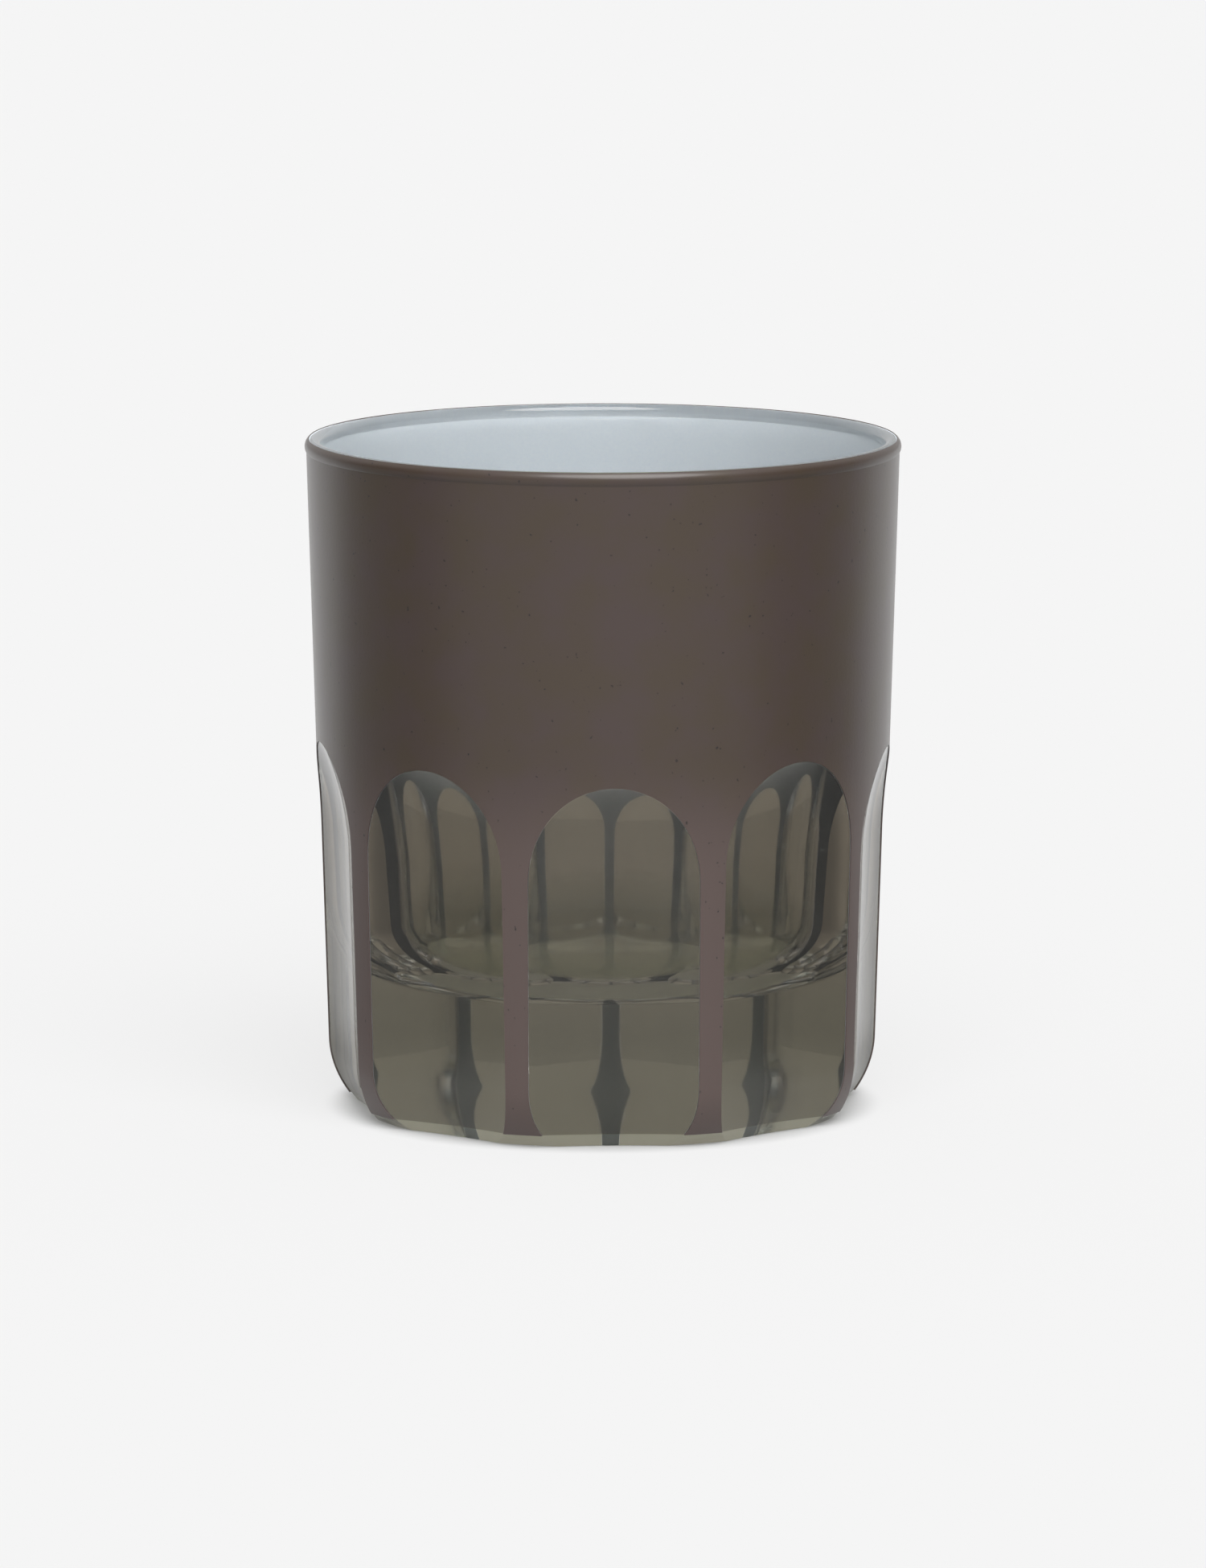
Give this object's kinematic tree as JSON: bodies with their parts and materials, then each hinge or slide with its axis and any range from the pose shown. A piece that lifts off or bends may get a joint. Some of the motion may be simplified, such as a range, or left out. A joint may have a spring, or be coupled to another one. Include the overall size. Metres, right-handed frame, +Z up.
{
  "type": "whiskey tumbler",
  "caption": "Heavy-footed drinking glass with a rounded rim, a matt coated upper wall and hollow ground flutes round its lower half, for spirits served neat or over ice.",
  "frame": {"origin": "centre of the flat foot, on the plane that the glass stands on", "axes": "+Z up along the glass's axis; -Y is the front, with one flute turned 2.3 degrees from it towards +X"},
  "size_m": [0.084, 0.084, 0.095],
  "materials": {
    "clear_glass": "fire-polished rim and bore, ground and polished flutes and foot, faint green cast",
    "pale_ground_coat": "pale blue-grey enamel, dense at the rim and thin towards the flutes, seen through the glass from inside",
    "matt_colour_coat": "matt taupe lacquer with a fine grain and a slight purple to olive drift",
    "smoke_lustre": "thin clear smoke-brown lustre, glossy, on the ground faces"
  },
  "bodies": {
    "root": {"glass_body": "clear_glass", "ground_coat": "pale_ground_coat", "colour_coat": "matt_colour_coat", "smoke_lustre": "smoke_lustre"}
  },
  "joints": []
}
